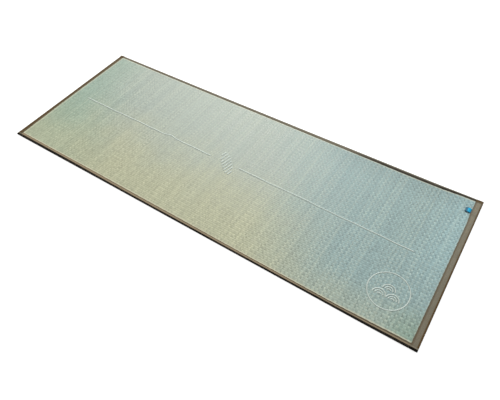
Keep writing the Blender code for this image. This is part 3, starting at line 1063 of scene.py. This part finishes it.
def ribbon_loop(material):
    """The ribbon as a closed sheet. Its centreline runs out along the rush, round a fold of small radius,
    and back over a low sine hump; both layers sink by S-curves to pass under the tape. Across the width it
    droops slightly towards both selvedges, where it is thinner."""
    floor = THICKNESS + DOME_RISE + RIBBON_CLEAR
    across = np.linspace(*LABEL_SPAN, 25)
    start = HALF_LENGTH - float(right_reach(np.mean(across))) + LABEL_TUCK
    end = label_low.x - LABEL_PAST + RIBBON_FOLD
    out = np.linspace(0, 1, 14)[:-1]
    back = np.linspace(0, 1, 22)[1:]
    turn = np.radians(np.linspace(-90, -270, 11))
    fold = end + RIBBON_FOLD * np.cos(turn)
    x = np.concatenate([start + (end - start) * out, fold, end + (start - end) * back])
    lower = floor - RIBBON_SINK * smooth(-out, -0.45, -0.02)
    around = floor + RIBBON_FOLD + RIBBON_FOLD * np.sin(turn)
    gap = 2 * RIBBON_FOLD + (RIBBON_THICK + LAYER_GAP - 2 * RIBBON_FOLD) * smooth(back, 0.35, 0.98)
    upper = floor + gap + RIBBON_HUMP * np.sin(np.pi * back) ** 1.3 - RIBBON_SINK * smooth(back, 0.55, 0.98)
    path = np.stack([x, np.concatenate([lower, around, upper])], -1)
    normal = square_to(np.gradient(path, axis=0))
    edge = np.abs(across - np.mean(across)) / (across[-1] - np.mean(across))
    thick = RIBBON_THICK * (1 - 0.5 * smooth(edge, 0.86, 1.0))
    run = run_along(path)
    share = run / run[-1]
    droop = -RIBBON_DROOP * np.outer(smooth(share, 0.55, 0.75), edge**2)
    waver = RIBBON_WAVER * np.outer(share * (1 - share) * 4, np.sin(9 * edge))
    sides = []
    for sign in (1, -1):
        at = path[:, None, :] + normal[:, None, :] * (sign * thick / 2)[None, :, None]
        px = at[..., 0] + waver
        py = np.broadcast_to(across[None, :], px.shape)
        sides.append(np.stack([px, py, at[..., 1] + droop + stand_off(px, py)], -1))
    loops = np.concatenate([sides[0], sides[1][:, ::-1]], 1)
    return swept("label_ribbon_loop", loops, material, u=run)


RIBBON_RIB = 0.0006
RIBBON_DEEP = (0.001, 0.030, 0.055, 1.0)  # painted shade between its ribs
RIBBON_BLUE = (0.001, 0.095, 0.170, 1.0)
RIBBON_GLEAM = (0.003, 0.30, 0.52, 1.0)  # a painted highlight where the upper layer bellies up
SELVEDGE_SHADE = 0.30  # painted shade along the front selvedge...
SELVEDGE_SPAN = (0.0006, 0.0060)  # ...which fades out between these distances from it


def make_ribbon_material():
    """Bright blue satin: fine cross ribs with painted shade between them, a painted gleam where the ribbon
    bellies up, and painted shade along the front selvedge.
    """
    material, w, shader = new_material("label_satin", Roughness=0.40, Specular_IOR_Level=0.2, Anisotropic=0.4)
    u, _, _ = w.split(w.cloth_coordinates())
    _, y, _ = w.split(w.own_coordinates())
    rib = w.math("SINE", w.times(w.math("FRACT", w.math("DIVIDE", u, RIBBON_RIB)), math.pi))
    cloud = w.noise(w.own_coordinates(), 260.0, 2.0)
    colour = w.mix(w.ramp(rib, 0.0, 0.7), RIBBON_DEEP, RIBBON_BLUE)
    gleam = w.times(w.ramp(u, 0.027, 0.035), w.ramp(u, 0.045, 0.038))
    colour = w.mix(w.ramp(w.add(gleam, w.times(cloud, 0.4)), 0.1, 1.1), colour, RIBBON_GLEAM)
    dark, light = (LABEL_SPAN[0] + distance for distance in SELVEDGE_SPAN)
    colour = w.shaded(colour, w.ramp(y, dark, light, SELVEDGE_SHADE, 1.0))
    w.dress(shader, colour, w.ramp(cloud, 0.3, 0.7, 0.28, 0.42), w.bump(rib, 0.00008))
    return material


label = ribbon_loop(make_ribbon_material())
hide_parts("label_loop")


# ---------------------------------------------------------------------------------------------
# THE FLOOR, THE LIGHT AND THE CAMERA
# A plain near-white floor, a broad window-like light from behind on the left that gives the rush its sheen, a
# cool one from the right and a weak warm fill from the front.

FLOOR_HALF = 12.0
FLOOR_GREY = (0.42, 0.42, 0.42, 1.0)
FLOOR_GLOW = 0.78  # it shines a little itself, so that it stays near white out to its edges
STUDIO_WHITE = (0.98, 0.99, 1.0, 1.0)
STUDIO_STRENGTH = 0.50


def make_floor():
    """A square plane at height 0, matt and faintly glowing."""
    material, _, _ = new_material(
        "floor_white",
        Base_Color=FLOOR_GREY,
        Roughness=1.0,
        Specular_IOR_Level=0.0,
        Emission_Color=(1.0, 1.0, 1.0, 1.0),
        Emission_Strength=FLOOR_GLOW,
    )
    mesh = bpy.data.meshes.new("floor")
    corners = [(FLOOR_HALF * x, FLOOR_HALF * y, 0) for x, y in ((-1, -1), (1, -1), (1, 1), (-1, 1))]
    mesh.from_pydata(corners, [], [(0, 1, 2, 3)])
    mesh.materials.append(material)
    floor = bpy.data.objects.new("floor", mesh)
    bpy.context.scene.collection.objects.link(floor)


def soft_light(name, place, target, size, power, colour):
    """A rectangular area light at place that points at target."""
    lamp = bpy.data.lights.new(name, "AREA")
    lamp.shape = "RECTANGLE"
    lamp.size, lamp.size_y = size
    lamp.energy = power
    lamp.color = colour
    holder = bpy.data.objects.new(name, lamp)
    holder.location = place
    holder.rotation_euler = (Vector(target) - Vector(place)).to_track_quat("-Z", "Y").to_euler()
    bpy.context.scene.collection.objects.link(holder)


make_floor()
soft_light("window", (-1.25, 2.7, 2.3), (-0.1, 0.1, 0), (2.4, 1.4), 130, (1.0, 0.99, 0.95))
soft_light("sky", (2.6, 0.9, 2.6), (0.4, 0, 0), (2.0, 2.0), 40, (0.84, 0.95, 1.0))
soft_light("fill", (-1.3, -1.9, 3.0), (-0.3, 0, 0), (2.0, 1.6), 35, (1.0, 0.95, 0.84))

world = bpy.data.worlds.new("studio")
world.use_nodes = True
world.node_tree.nodes["Background"].inputs["Color"].default_value = STUDIO_WHITE
world.node_tree.nodes["Background"].inputs["Strength"].default_value = STUDIO_STRENGTH
bpy.context.scene.world = world
bpy.context.scene.view_settings.view_transform = "Standard"

CAMERA_PLACE = (0.8101, -1.0095, 1.3929)
CAMERA_TURN = 35.67  # anticlockwise from looking along +Y, in degrees
CAMERA_DOWN = 51.33  # below the horizon
CAMERA_ROLL = -3.09
CAMERA_LENS = 34.0

camera_data = bpy.data.cameras.new("camera")
camera_data.lens = CAMERA_LENS
camera_data.sensor_width = 36.0
camera_data.clip_start = 0.05
camera_data.clip_end = 60.0
camera = bpy.data.objects.new("camera", camera_data)
camera.matrix_world = (
    Matrix.Translation(CAMERA_PLACE)
    @ Matrix.Rotation(math.radians(CAMERA_TURN), 4, "Z")
    @ Matrix.Rotation(math.radians(90 - CAMERA_DOWN), 4, "X")
    @ Matrix.Rotation(math.radians(CAMERA_ROLL), 4, "Z")
)
bpy.context.scene.collection.objects.link(camera)
bpy.context.scene.camera = camera
